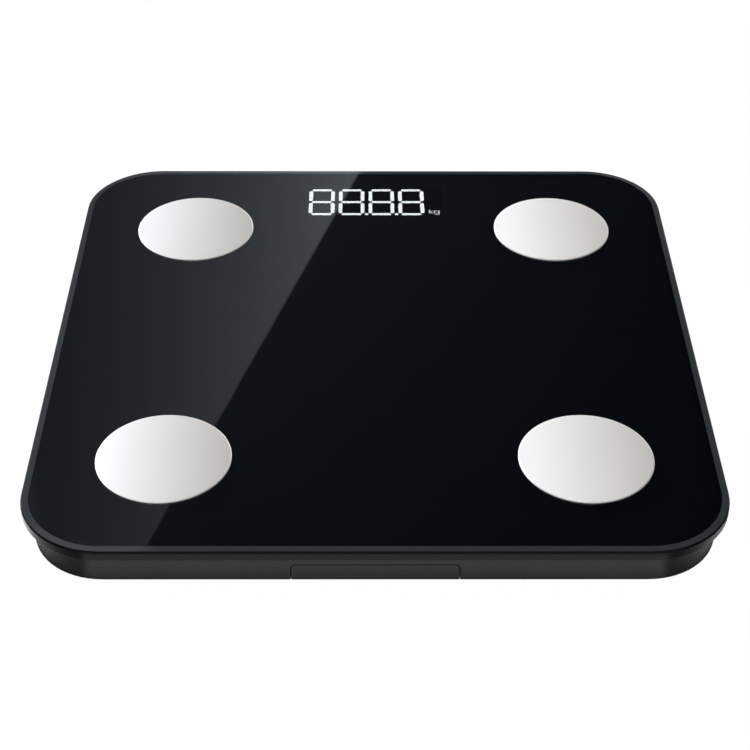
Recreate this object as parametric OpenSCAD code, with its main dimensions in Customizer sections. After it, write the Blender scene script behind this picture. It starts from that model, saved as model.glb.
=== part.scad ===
// Digital bathroom scale: a square glass platform bonded to a shallow moulded tray.
// Four feet under the corners press on load cells, and a light-up display shines through the glass.
// Millimetres, Z up. The origin is on the floor under the centre, with the battery door at -Y.

/* [Platform] */
// Side of the square glass platform
glass_w = 260.8; // [254:0.1:320]
// Thickness of the tempered glass
glass_t = 4.3; // [4:0.1:8]
// Corner radius of the glass
glass_r = 32.4; // [26:0.1:38]
// Width of the polished bevel round the top face
bevel_run = 2.5; // [1:0.1:5]
// Height lost over that bevel
bevel_drop = 0.2; // [0.2:0.1:1.2]
// Width of the dark seam ground between bevel and edge
seam_run = 0.4; // [0.2:0.1:0.8]
// Height of that seam
seam_drop = 0.9; // [0.2:0.1:0.9]
// Ground arris on the lower edge
arris = 0.2; // [0.1:0.1:0.6]
// Thickness of the opaque print under the glass
print_t = 0.1; // [0.1:0.1:0.3]
// Bare margin between the print and the arris of the glass
print_margin = 0.1; // [0.1:0.1:2]
// Thickness of the bonding tape
tape_t = 0.2; // [0.2:0.1:1]
// Width of the bonding tape
tape_w = 5; // [4:0.1:7]

/* [Body] */
// How far the glass reaches past the tray
overhang = 3.9; // [2:0.1:6]
// Corner radius of the tray
body_r = 28; // [24:0.5:30]
// Height of the tray's underside above the floor
ground_gap = 5.2; // [4:0.1:9]
// Thickness of the tray's outer wall
wall_t = 2.2; // [1.8:0.1:3]
// Thickness of the tray's floor
floor_t = 2; // [1.8:0.1:2.6]
// Radius along the tray's lower edge
edge_r = 0.8; // [0.6:0.1:1.8]

/* [Ribs] */
// Thickness of the stiffening ribs
rib_t = 1.4; // [1:0.1:2]
// Height of the ribs above the floor
rib_h = 5.5; // [3:0.1:6]
// Spacing of the rib grid
rib_pitch = 30; // [20:1:40]
// Spacing of the gussets along the wall
gusset_pitch = 15; // [10:1:24]
// How far a gusset reaches in from the wall
gusset_run = 5.2; // [3:0.1:6]

/* [Battery bay] */
// Diameter of one dry cell
cell_d = 10.5; // [10:0.1:11]
// Length of one dry cell
cell_len = 44.5; // [43:0.1:45.5]
// Diameter of the positive nub
nub_d = 3.8; // [3:0.1:5]
// Height of the positive nub
nub_h = 1; // [0.8:0.1:1.4]
// Clearance above, below and between the cells
cell_fit = 0.2; // [0.1:0.1:0.5]
// Thickness of the bay's walls
bay_wall = 1.6; // [1.2:0.1:2]
// Thickness of the bay's roof
roof_t = 0.8; // [0.8:0.1:2]
// Air between the bay's roof and the rim of the tray
spare_h = 0.1; // [0.1:0.1:4]
// Thickness of the contact plates
plate_t = 0.4; // [0.3:0.1:0.6]
// Height of the raised positive contact
bump_h = 0.8; // [0.6:0.1:1.2]
// Compressed length of a contact spring
spring_h = 3.6; // [3:0.1:5]
// Wire diameter of a contact spring
spring_wire = 0.5; // [0.4:0.1:0.7]

/* [Battery door] */
// Thickness of the sliding plate
door_t = 1.4; // [1.2:0.1:1.8]
// Thickness of the front flap
flap_t = 2; // [1.8:0.1:2.6]
// Height of the front flap
flap_h = 7.4; // [6:0.1:9]
// Radius of the flap's upper corners
flap_r = 1.5; // [0.5:0.1:3]
// Dark gap round the flap
door_gap = 0.45; // [0.3:0.05:0.7]
// Running gap along the slides
slide_fit = 0.35; // [0.3:0.05:0.5]
// Width of the upright slide rims
slide_rim = 1.6; // [1.2:0.1:2]
// Reach of the tongues past the rims
tongue_reach = 1.6; // [1.2:0.1:2]
// Thickness of the tongues
tongue_t = 0.8; // [0.7:0.1:1]
// How far the flap hides the slides on each side
flap_lap = 0.25; // [0.2:0.05:1]
// Number of finger grooves
grip_count = 6; // [3:1:8]
// Length of a finger groove
grip_len = 20; // [12:1:28]
// Width of a finger groove
grip_w = 1; // [0.6:0.1:1.4]
// Depth of a finger groove
grip_depth = 0.5; // [0.3:0.1:0.7]

/* [Feet] */
// Gap between a foot's carrier and the fibre washer of the electrode beside it
washer_gap = 1; // [0.5:0.1:2.5]
// Gap between a foot and its hole
foot_gap = 0.6; // [0.4:0.1:1]
// Wall thickness of a foot
foot_wall = 1.8; // [1.4:0.1:2.2]
// Reach of the flange that keeps the foot in its hole
flange_reach = 1.9; // [1.5:0.1:2.4]
// Thickness of that flange
flange_t = 1; // [0.8:0.1:1.4]
// How far a foot drops when the scale is lifted off the floor
foot_travel = 0.5; // [0.3:0.1:0.8]
// Diameter of the post that presses on the load cell
post_d = 8; // [6:0.5:10]
// Diameter of the rubber pad
pad_d = 32; // [28:0.5:33]
// How far a foot reaches past its rubber pad, all round
foot_lip = 1.4; // [1:0.1:2]
// Thickness of the rubber pad
pad_t = 1.4; // [1.2:0.1:2]
// How far the pad stands out of the foot
pad_proud = 0.7; // [0.5:0.1:0.9]
// Depth of the grooves in the pad
tread_h = 0.5; // [0.3:0.1:0.8]
// Spacing of the grooves in the pad
tread_pitch = 3.2; // [2.5:0.1:4]

/* [Load cells] */
// Side of a load cell
gauge_w = 30; // [28:0.5:30]
// Thickness of its steel
gauge_t = 1.6; // [1.2:0.1:2]
// Corner radius of a load cell
gauge_r = 6; // [5:0.5:8]
// Width of its outer frame
gauge_frame = 4; // [3:0.1:4.5]
// Width of the bending neck
neck_w = 8; // [6:0.5:10]
// Width of the loaded head
head_w = 14; // [12:0.5:16]
// Length of the loaded head
head_len = 10; // [8:0.5:11]
// Thickness of the silicone over the strain gauge
coat_t = 0.8; // [0.5:0.1:1.2]
// Clearance of a load cell in its pocket
gauge_fit = 0.2; // [0.1:0.1:0.3]
// Wall thickness of the carrier
carrier_wall = 2; // [1.6:0.1:2.2]
// Thickness of the shelf that bears on the load cell
shelf_t = 1.8; // [1.5:0.1:2.5]
// Distance of the wire notch from the axis of the carrier
notch_y = 9.5; // [8.5:0.1:10]

/* [Electrodes] */
// Diameter of an electrode
electrode_d = 51.2; // [40:0.1:56]
// Thickness of an electrode
electrode_t = 0.5; // [0.4:0.1:1]
// Distance of an electrode's axis from the glass edges
electrode_inset = 50.9; // [48:0.1:54]
// Width of the bright turned edge
electrode_edge = 0.45; // [0.3:0.05:0.8]
// Thickness of the adhesive under an electrode
glue_t = 0.1; // [0.1:0.1:0.2]
// Diameter of the stud welded to an electrode
stud_d = 3; // [2.5:0.1:3]
// Length of stud that shows below the nut
stud_tail = 0.5; // [0.3:0.1:1]
// Diameter of the hole in the glass
stud_hole = 4.4; // [4:0.1:5]
// Diameter of the fibre washer
washer_d = 7; // [6.5:0.1:7.5]
// Thickness of the fibre washer
washer_t = 0.5; // [0.4:0.1:0.8]
// Thickness of the ring lug
lug_t = 0.5; // [0.4:0.1:0.6]
// Outer diameter of the ring lug
lug_d = 6; // [5.5:0.1:6.5]
// Distance from the stud to the lug's crimped barrel
lug_reach = 5; // [4.5:0.1:6.5]
// Length of that barrel
barrel_len = 3; // [2.5:0.1:4]
// Width across the flats of the nut
nut_flats = 5.5; // [5:0.1:5.5]
// Height of the nut
nut_h = 2.4; // [2:0.1:2.6]

/* [Display] */
// Width of a digit
digit_w = 11.7; // [9:0.1:11.8]
// Height of a digit
digit_h = 22.2; // [16:0.1:22.5]
// Width of a lit segment
stroke = 1.6; // [1.2:0.1:1.8]
// Spacing of the digits
digit_pitch = 13.7; // [13.6:0.1:15]
// Gap between the segments of a digit
seg_gap = 0.3; // [0.2:0.05:0.5]
// Cut-off corner of a segment
seg_cut = 0.4; // [0.1:0.05:0.5]
// Diameter of a decimal point
dot_d = 1.6; // [1.2:0.1:1.6]
// Offset of the digits from the centre line
digits_x = -3.2; // [-5:0.1:0]
// Distance of the digits' centre from the rear edge of the glass
display_inset = 24.4; // [23:0.1:26]
// Width of the lit unit legend
legend_w = 5.3; // [4:0.1:5.6]
// Height of the lit unit legend
legend_h = 4.9; // [4:0.1:5.4]
// Gap between the last digit and the legend
legend_gap = 1.9; // [1.7:0.1:2]
// Margin of the window round the digits and legend
window_margin = 1.6; // [1.2:0.1:2]
// Width of the foam frame round the window
gasket_w = 2; // [1.5:0.1:2.4]
// Thickness of the foam frame
gasket_t = 0.4; // [0.3:0.1:1]
// Thickness of a lit diffuser
diffuser_t = 0.8; // [0.5:0.1:1.5]
// Clearance of a diffuser in its cell
diffuser_fit = 0.05; // [0.03:0.01:0.1]

/* [Circuit board] */
// Board left outside the side headers
board_side = 5; // [4.8:0.1:8]
// Board left in front of the display
board_apron = 10.8; // [10:0.1:14]
// Board left behind the display
board_margin = 0.8; // [0.5:0.1:1.5]
// Thickness of the circuit board
board_t = 1.2; // [1:0.1:1.6]
// Height of the board above the tray's floor
board_lift = 3.8; // [3.8:0.1:4.6]
// Distance of the board screws from its edges
board_inset = 4; // [3.8:0.1:5]
// Height of the wire headers
header_h = 4.5; // [4:0.1:4.8]
// Depth of the wire headers
header_d = 5; // [4:0.1:5.4]
// Length of the side headers
header_len = 18; // [17:0.5:20]
// Gap between the headers and what lies beside them
header_gap = 2; // [1.5:0.1:3]

/* [Unit button] */
// Diameter of the unit button
button_d = 9; // [8:0.1:12]
// Gap between the button and its hole
button_gap = 0.3; // [0.3:0.05:0.5]
// How far the button sits above the tray's underside
button_recess = 0.4; // [0.3:0.1:1]
// Reach of the flange that keeps the button in
button_flange = 1.6; // [1.2:0.1:2]
// Thickness of that flange
button_flange_t = 0.7; // [0.6:0.1:0.8]
// Travel of the button
button_travel = 0.4; // [0.3:0.1:0.4]
// Distance of the button's axis from the board's front edge
button_inset = 6; // [5.5:0.1:7]
// Play left between the pressed button and the switch body
button_play = 0.2; // [0.1:0.1:0.3]
// Side of the switch body
switch_w = 6; // [5:0.1:6.5]
// Diameter of the switch plunger
plunger_d = 3.2; // [2.5:0.1:3.5]

/* [Wiring] */
// Diameter of a wire
wire_d = 1.1; // [0.9:0.1:1.2]
// Spacing of the wires of one load cell
wire_pitch = 1.6; // [1.4:0.1:1.8]
// Height between the two layers of wires
layer_gap = 0.9; // [0.5:0.1:1.4]
// Bend radius of the wires
bend_r = 7; // [5:0.5:8]
// Distance from the electrodes in to the lanes of the front electrodes' wires
outer_lane = 14; // [13:0.5:16]
// Distance from the electrodes in to the lanes of the front load cells' wires
inner_lane = 21.5; // [20:0.5:24]
// Distance from the electrodes in to the lanes of the rear load cells' wires
rear_lane = 9; // [8.5:0.1:10]
// Distance from the board to the nearest wire that crosses in front of it
cross_lane = 7; // [6:0.5:9]
// Spacing of the pins in the front header
pin_pitch = 3; // [2.5:0.1:3.2]

/* [Fasteners] */
// Diameter of a screw's shank
screw_d = 2.5; // [2.2:0.1:2.6]
// Diameter of a screw's head
head_d = 4.8; // [4:0.1:5]
// Height of a screw's head
head_h = 1.6; // [1.2:0.1:1.8]
// Length of a screw under its head
screw_len = 5; // [4.5:0.1:5]
// Wall round a screw in its boss
boss_wall = 1.9; // [1.5:0.1:2.2]
// Height of the bosses that the carriers stand on
ear_lift = 2; // [1.5:0.1:2.5]
// Thickness of the carriers' ears
ear_t = 2; // [1.6:0.1:2.4]

/* [Fits] */
// Clearance between parts that stay apart
clear = 0.3; // [0.3:0.05:0.4]
// Overlap of shapes that are fused into one piece
weld = 0.5; // [0.3:0.1:0.7]
// Radial clearance of a shaft in its hole
shaft_fit = 0.05; // [0.02:0.01:0.09]

/* [Hidden] */

round_fn = 96;
small_fn = 32;
cut = 1; // overshoot of a cutting solid
rib_gap = 1.2; // from the ribs to what stands between them
quarter = 90;

body_half = glass_w / 2 - overhang;

// Heights, from the floor up
floor_top = ground_gap + floor_t;
door_top = ground_gap + door_t;
cell_axis_z = door_top + cell_fit + cell_d / 2;
bay_roof_z = door_top + 2 * cell_fit + cell_d;
rim_z = bay_roof_z + roof_t + spare_h;
print_z = rim_z + tape_t;
glass_z = print_z + print_t;
top_z = glass_z + glass_t;
board_z = floor_top + board_lift;
board_top = board_z + board_t;
rib_top = floor_top + rib_h;

// Battery bay and door
cells = 3;
cell_pitch = cell_d + 2 * cell_fit;
bay_len = cell_len + bump_h + spring_h + 2 * plate_t;
bay_front = -body_half + flap_t + clear + bay_wall;
bay_rear = bay_front + cells * cell_pitch;
bay_half = bay_len / 2 + bay_wall;
rim_in = bay_half + slide_fit;
rim_out = rim_in + slide_rim;
tongue_out = rim_out + tongue_reach;
flap_half = tongue_out + flap_lap;
tongue_z = door_top - tongue_t / 8;
tongue_top = tongue_z + tongue_t;
rail_out = tongue_out + clear + bay_wall;
rail_top = tongue_top + clear + bay_wall;
door_back = bay_rear - clear;
contact_w = 0.8 * cell_d;
tail_w = 3;
tail_z = cell_axis_z + (contact_w - plate_t) / 2;
tail_x = bay_half + tail_w / 2;

// Feet, load cells and carriers
electrode_pos = glass_w / 2 - electrode_inset;
foot_d = pad_d + 2 * foot_lip;
foot_hole_r = foot_d / 2 + foot_gap;
flange_r = foot_d / 2 + flange_reach;
flange_z = floor_top + clear + foot_travel;
gauge_z = flange_z + flange_t + clear;
gauge_top = gauge_z + gauge_t;
coat_w = neck_w - 1;
skirt_r = flange_r + foot_gap;
carrier_r = skirt_r + carrier_wall;
foot_pos = electrode_pos + (carrier_r + washer_gap + washer_d / 2) / sqrt(2);
notch_w = 2 * wire_pitch + wire_d + 2;
relief_d = gauge_w - 2 * gauge_frame;
ear_r = screw_d / 2 + boss_wall;
ear_reach = carrier_r + ear_r;
ear_z = floor_top + ear_lift;
ear_top = ear_z + ear_t;
ear_web = 1.6 * ear_r;

// Electrodes and what holds them
electrode_z = top_z + glue_t;
washer_z = print_z - washer_t;
lug_z = washer_z - lug_t;
nut_z = lug_z - nut_h;
barrel_d = 2 * wire_d;
barrel_z = print_z - (washer_t + barrel_d) / 2;

// Display: the digits and the legend set the window, and the window sets the housing
inner_half = body_half - wall_t;
digits = 4;
digits_y = glass_w / 2 - display_inset;
row_half = (digits - 1) * digit_pitch / 2 + digit_w / 2;
legend_x = digits_x + row_half + legend_gap + legend_w / 2;
legend_y = digits_y - digit_h / 2 + legend_h / 2;
window_left = digits_x - row_half - window_margin;
window_right = legend_x + legend_w / 2 + window_margin;
window_x = (window_left + window_right) / 2;
window_w = window_right - window_left;
window_h = digit_h + 2 * window_margin;
housing_w = window_w + 2 * gasket_w;
housing_h = window_h + 2 * gasket_w;
housing_top = print_z - gasket_t;

// Board: it carries the display, with a header at each side and one in front
board_rear = digits_y + housing_h / 2 + board_margin;
board_front = digits_y - housing_h / 2 - board_apron;
board_d = board_rear - board_front;
board_y = (board_rear + board_front) / 2;
side_header_x = max(window_right, -window_left) + gasket_w + header_gap + header_d / 2;
board_w = 2 * (side_header_x + header_d / 2 + board_side);
button_y = board_front + button_inset;
button_z = ground_gap + button_recess;
button_flange_z = floor_top + clear;
button_top = button_flange_z + button_flange_t;
switch_z = button_top + button_travel + button_play;
plunger_sunk = button_travel;
side_header_y = board_front + board_inset + head_d / 2 + clear + header_len / 2;
front_header_y = board_front + header_gap / 2 + header_d / 2;
front_header_w = 8 * pin_pitch - header_gap;

// Chips under the board: place from the board's centre, width, depth and height of each
chips = [
    [-20, 2, 9, 9, 1.2], [-33, 2, 5, 10, 1.5], [-8, 2, 4, 6, 1.2],
    [-26, -7, 1.6, 0.8, 0.6], [-22, -7, 1.6, 0.8, 0.6], [-18, -7, 1.6, 0.8, 0.6], [-14, -7, 1.6, 0.8, 0.6]
];
radio = [24, 2, 16, 12, 0.8];
radio_can = [22, 2, 9, 8, 2];
led_w = 1.6;
led_d = 0.8;
led_h = 0.5;

// Wires: the load cells' layer lies on the ribs, the electrodes' layer over it
low_wire_z = max(rib_top, board_top + weld) + clear + wire_d / 2;
high_wire_z = low_wire_z + wire_d + layer_gap;
pin_z = board_top + header_h / 2;

LEFT = -1;
RIGHT = 1;
FRONT = -1;
REAR = 1;

// Points along an arc, for the outline of a moulded edge
function arc_points(x, y, r, from, to, steps) =
    [for (i = [0:steps]) let (a = from + (to - from) * i / steps) [x + r * cos(a), y + r * sin(a)]];

function unit(v) = v / norm(v);

// A route with each corner rounded by a parabola of about the bend radius
function corner_points(a, b, c) =
    let (reach = min(bend_r, norm(b - a) / 2, norm(c - b) / 2))
    let (p = b + unit(a - b) * reach)
    let (q = b + unit(c - b) * reach)
    [for (t = [0:0.25:1]) p * (1 - t) * (1 - t) + b * 2 * t * (1 - t) + q * t * t];

function rounded_route(points) = [
    points[0],
    for (i = [1:len(points) - 2]) each corner_points(points[i - 1], points[i], points[i + 1]),
    points[len(points) - 1]
];

// A plate with rounded corners. Its child is half its section: x from 0 on a corner's axis out to r.
module rounded_slab(half_x, half_y, r, low, high) {
    for (turn = [0:3]) {
        along = turn % 2 == 0 ? half_x : half_y;
        across = turn % 2 == 0 ? half_y : half_x;
        rotate(quarter * turn) {
            translate([along - r, across - r, 0])
                rotate_extrude(angle = quarter, $fn = round_fn) children();
            translate([along - r, 0, 0])
                rotate([90, 0, 0]) linear_extrude(2 * (across - r), center = true) children();
        }
    }
    translate([r - half_x, r - half_y, low])
        cube([2 * (half_x - r), 2 * (half_y - r), high - low]);
}

module rounded_box(w, d, h, r) {
    rounded_slab(w / 2, d / 2, r, 0, h) square([r, h]);
}

// A block by its width, its depth and its two heights, centred on X and Y
module block(w, d, low, high) {
    translate([-w / 2, -d / 2, low]) cube([w, d, high - low]);
}

module ring(r_out, r_in, h) {
    difference() {
        cylinder(r = r_out, h = h, $fn = round_fn);
        translate([0, 0, -cut]) cylinder(r = r_in, h = h + 2 * cut, $fn = round_fn);
    }
}

// Places a corner's piece, with its +X and +Y turned towards the middle of the scale
module at_corner(side, end) {
    translate([side * foot_pos, end * foot_pos, 0])
        mirror([side > 0 ? 1 : 0, 0, 0])
            mirror([0, end > 0 ? 1 : 0, 0])
                children();
}

module at_electrodes() {
    for (side = [LEFT, RIGHT], end = [FRONT, REAR])
        translate([side * electrode_pos, end * electrode_pos, 0])
            mirror([side > 0 ? 1 : 0, 0, 0])
                children();
}

// A wire swept along its route; no part of a route runs along the reference direction
module wire(route, d, reference = [0, 0, 1]) {
    sides = 6;
    last = len(route) - 1;
    points = [
        for (i = [0:last])
            let (along = unit(route[min(i + 1, last)] - route[max(i - 1, 0)]))
            let (across = unit(cross(reference, along)))
            let (above = cross(along, across))
            for (k = [0:sides - 1])
                route[i] + d / 2 * (cos(360 * k / sides) * across + sin(360 * k / sides) * above)
    ];
    walls = [
        for (i = [0:last - 1], k = [0:sides - 1])
            let (here = i * sides, there = here + sides, next = (k + 1) % sides)
            [here + k, there + k, there + next, here + next]
    ];
    start = [for (k = [0:sides - 1]) k];
    finish = [for (k = [sides - 1:-1:0]) last * sides + k];
    polyhedron(points = points, faces = concat([start, finish], walls));
}

// Platform

module platform_glass() color([0.07, 0.09, 0.1, 0.6]) {
    bevel_top = glass_r - seam_run - bevel_run;
    difference() {
        rounded_slab(glass_w / 2, glass_w / 2, glass_r, glass_z, top_z)
            polygon([
                [0, glass_z], [glass_r - arris, glass_z], [glass_r, glass_z + arris],
                [glass_r, top_z - bevel_drop - seam_drop], [glass_r - seam_run, top_z - bevel_drop],
                [bevel_top, top_z], [0, top_z]
            ]);
        at_electrodes() translate([0, 0, glass_z - cut])
            cylinder(d = stud_hole, h = glass_t + 2 * cut, $fn = small_fn);
    }
}

module back_print() color([0.03, 0.03, 0.03]) {
    half = glass_w / 2 - arris - print_margin;
    difference() {
        translate([0, 0, print_z]) rounded_box(2 * half, 2 * half, print_t, glass_r - arris - print_margin);
        at_electrodes() translate([0, 0, print_z - cut])
            cylinder(d = stud_hole, h = print_t + 2 * cut, $fn = small_fn);
        translate([window_x, digits_y, 0]) block(window_w, window_h, print_z - cut, glass_z + cut);
    }
}

module display_window() color([0.1, 0.1, 0.11, 0.5])
    translate([window_x, digits_y, 0]) block(window_w, window_h, print_z, glass_z);

module bond_tape() color([0.12, 0.12, 0.12]) {
    inner = body_half - tape_w;
    difference() {
        translate([0, 0, rim_z]) rounded_box(2 * body_half, 2 * body_half, tape_t, body_r);
        translate([0, 0, rim_z - cut])
            rounded_box(2 * inner, 2 * inner, tape_t + 2 * cut, body_r - tape_w);
        for (side = [LEFT, RIGHT], end = [FRONT, REAR])
            at_corner(side, end) translate([0, 0, rim_z - cut])
                cylinder(r = carrier_r + clear, h = tape_t + 2 * cut, $fn = round_fn);
        translate([window_x, digits_y, 0])
            block(housing_w + 2 * clear, housing_h + 2 * clear, rim_z - cut, print_z + cut);
    }
    for (side = [LEFT, RIGHT], end = [FRONT, REAR])
        at_corner(side, end) translate([0, 0, rim_z]) ring(carrier_r - clear, relief_d / 2 + clear, tape_t);
}

// Electrodes

module electrode(side, end) color([0.86, 0.86, 0.85])
    translate([side * electrode_pos, end * electrode_pos, 0]) {
        edge_drop = electrode_t * 0.4;
        r = electrode_d / 2;
        rotate_extrude($fn = round_fn)
            polygon([
                [0, electrode_z], [r, electrode_z], [r, electrode_z + electrode_t - edge_drop],
                [r - electrode_edge, electrode_z + electrode_t], [0, electrode_z + electrode_t]
            ]);
        translate([0, 0, nut_z - stud_tail])
            cylinder(d = stud_d, h = electrode_z + electrode_t / 2 - nut_z + stud_tail, $fn = small_fn);
    }

module electrode_glue() color([0.5, 0.5, 0.48])
    at_electrodes() translate([0, 0, top_z]) ring(electrode_d / 2 - clear, stud_hole / 2, glue_t);

module electrode_washers() color([0.45, 0.2, 0.12])
    at_electrodes() translate([0, 0, washer_z]) ring(washer_d / 2, stud_d / 2 + shaft_fit, washer_t);

module electrode_lugs() color([0.75, 0.72, 0.66])
    at_electrodes() {
        difference() {
            union() {
                translate([0, 0, lug_z]) cylinder(d = lug_d, h = lug_t, $fn = small_fn);
                translate([0, -barrel_d / 4, lug_z]) cube([lug_reach + weld, barrel_d / 2, lug_t]);
                translate([lug_reach, 0, barrel_z]) rotate([0, 90, 0])
                    cylinder(d = barrel_d, h = barrel_len, $fn = small_fn);
            }
            translate([0, 0, lug_z - cut])
                cylinder(r = stud_d / 2 + shaft_fit, h = lug_t + 2 * cut, $fn = small_fn);
        }
    }

module electrode_nuts() color([0.75, 0.75, 0.76])
    at_electrodes() difference() {
        translate([0, 0, nut_z]) cylinder(d = nut_flats / cos(30), h = nut_h, $fn = 6);
        translate([0, 0, nut_z - cut])
            cylinder(r = stud_d / 2 + shaft_fit, h = nut_h + 2 * cut, $fn = small_fn);
    }

// Each electrode's wire drops to the upper layer, runs beside the feet and turns in to the board
module electrode_wires() color([0.85, 0.85, 0.82]) {
    lug_end = electrode_pos - lug_reach - barrel_len;
    lane_x = electrode_pos - outer_lane;
    for (side = [LEFT, RIGHT], end = [FRONT, REAR]) {
        lane_y = board_front - cross_lane - (end == FRONT ? bend_r : 0);
        pin_x = (end == FRONT ? 2 : 3) * pin_pitch;
        wire(rounded_route([
            [side * lug_end, end * electrode_pos, barrel_z],
            [side * (lug_end - wire_d), end * electrode_pos, barrel_z],
            [side * lane_x, end * electrode_pos, high_wire_z],
            [side * (lane_x - wire_d), lane_y, high_wire_z],
            [side * pin_x, lane_y, high_wire_z],
            [side * pin_x, front_header_y - header_d / 2 - wire_d, pin_z],
            [side * pin_x, front_header_y - header_d / 2, pin_z]
        ]), wire_d);
    }
}

// Tray

module shell_outside() {
    rounded_slab(body_half, body_half, body_r, ground_gap, rim_z)
        polygon(concat(
            [[0, ground_gap]],
            arc_points(body_r - edge_r, ground_gap + edge_r, edge_r, -90, 0, 6),
            [[body_r, rim_z], [0, rim_z]]
        ));
}

module boss(lift) {
    translate([0, 0, floor_top - weld]) cylinder(r = ear_r, h = lift + weld, $fn = small_fn);
}

module screw_hole(top) {
    translate([0, 0, top - screw_len])
        cylinder(r = screw_d / 2 + shaft_fit, h = screw_len + cut, $fn = small_fn);
}

module at_ears() {
    translate([ear_reach, 0, 0]) children();
    translate([0, ear_reach, 0]) children();
}

module at_board_screws() {
    for (side = [LEFT, RIGHT], y = [board_front + board_inset, board_rear - board_inset])
        translate([side * (board_w / 2 - board_inset), y, 0]) children();
}

// Ribs cross the floor, and stop short of the feet, the battery bay and the board
module floor_ribs() {
    lines = floor((inner_half - gusset_run - rib_t) / rib_pitch);
    reach = 2 * inner_half + wall_t;
    difference() {
        intersection() {
            for (i = [-lines:lines], turn = [0, quarter])
                rotate(turn) translate([i * rib_pitch, 0, 0]) block(rib_t, reach, floor_top - weld, rib_top);
            translate([0, 0, ground_gap]) rounded_box(reach, reach, rim_z, body_r - wall_t / 2);
        }
        for (side = [LEFT, RIGHT], end = [FRONT, REAR])
            at_corner(side, end) {
                translate([0, 0, floor_top - cut])
                    cylinder(r = carrier_r + rib_gap, h = rib_h + 2 * cut, $fn = round_fn);
                at_ears() translate([0, 0, floor_top - cut])
                    cylinder(r = ear_r + rib_gap, h = rib_h + 2 * cut, $fn = small_fn);
            }
        translate([0, (bay_rear - body_half) / 2, 0]) {
            depth = body_half + bay_rear + 2 * (bay_wall + rib_gap);
            block(2 * (rail_out + rib_gap), depth, floor_top - cut, rib_top + cut);
        }
        translate([0, board_y, 0])
            block(board_w + 2 * rib_gap, board_d + 2 * rib_gap, floor_top - cut, rib_top + cut);
    }
}

// Gussets stand along the wall under the tape, clear of the feet, the bay and the board
module gussets() {
    count = floor((foot_pos - carrier_r - rib_gap - rib_t) / gusset_pitch);
    for (turn = [0:3], i = [-count:count]) {
        skip = turn == 3 ? rail_out + rib_gap : turn == 1 ? board_w / 2 + rib_gap : 0;
        if (abs(i) * gusset_pitch >= skip)
            rotate(quarter * turn) translate([inner_half - gusset_run, i * gusset_pitch, 0])
                rotate([90, 0, 0]) linear_extrude(rib_t, center = true)
                    polygon([
                        [gusset_run / 2, floor_top - weld], [gusset_run + wall_t / 2, floor_top - weld],
                        [gusset_run + wall_t / 2, rim_z], [0, rim_z], [0, rim_z - wall_t]
                    ]);
    }
}

module bay_block(low, high, margin) {
    translate([0, (bay_front + bay_rear) / 2, 0])
        block(bay_len + 2 * margin, bay_rear - bay_front + 2 * margin, low, high);
}

module base_shell() color([0.2, 0.2, 0.2]) {
    bay_depth = bay_rear - bay_front + bay_wall;
    difference() {
        union() {
            difference() {
                shell_outside();
                translate([0, 0, floor_top])
                    rounded_box(2 * inner_half, 2 * inner_half, rim_z, body_r - wall_t);
            }
            floor_ribs();
            gussets();
            bay_block(ground_gap + floor_t / 2, bay_roof_z + roof_t, bay_wall);
            // rails that the door slides in, and the wall behind its flap
            translate([0, bay_rear - bay_depth / 2, 0])
                block(2 * rail_out, bay_depth, ground_gap + floor_t / 2, rail_top);
            translate([0, bay_front - bay_wall / 2, 0])
                block(2 * rail_out, bay_wall, rail_top - weld, bay_roof_z + roof_t);
            for (side = [LEFT, RIGHT], end = [FRONT, REAR])
                at_corner(side, end) at_ears() boss(ear_lift);
            at_board_screws() boss(board_lift);
        }
        bay_block(ground_gap - cut, bay_roof_z, 0);
        // underside opening, its grooves, and the front opening for the flap
        translate([0, (door_back + clear - body_half) / 2, 0]) {
            depth = door_back + clear + body_half;
            block(2 * (rim_out + slide_fit), depth, ground_gap - cut, tongue_top + clear);
            block(2 * (tongue_out + clear), depth, tongue_z - clear, tongue_top + clear);
        }
        translate([0, flap_t + clear - body_half, ground_gap - cut])
            rotate([90, 0, 0]) linear_extrude(flap_t + clear + cut)
                flap_outline(door_gap, cut);
        // slots for the tails of the two terminals
        for (tail = [[LEFT, 0], [RIGHT, cells - 1]])
            translate([tail[0] * (bay_half - bay_wall / 2), cell_y(tail[1]), tail_z])
                block(2 * bay_wall, tail_w + 2 * clear, -plate_t / 2 - clear, plate_t / 2 + clear);
        for (side = [LEFT, RIGHT], end = [FRONT, REAR])
            at_corner(side, end) {
                translate([0, 0, ground_gap - cut])
                    cylinder(r = foot_hole_r, h = floor_t + 2 * cut, $fn = round_fn);
                at_ears() screw_hole(ear_top);
            }
        at_board_screws() screw_hole(board_top);
        translate([0, button_y, ground_gap - cut])
            cylinder(r = button_d / 2 + button_gap, h = floor_t + 2 * cut, $fn = small_fn);
    }
}

// Carriers, load cells and feet

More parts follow.
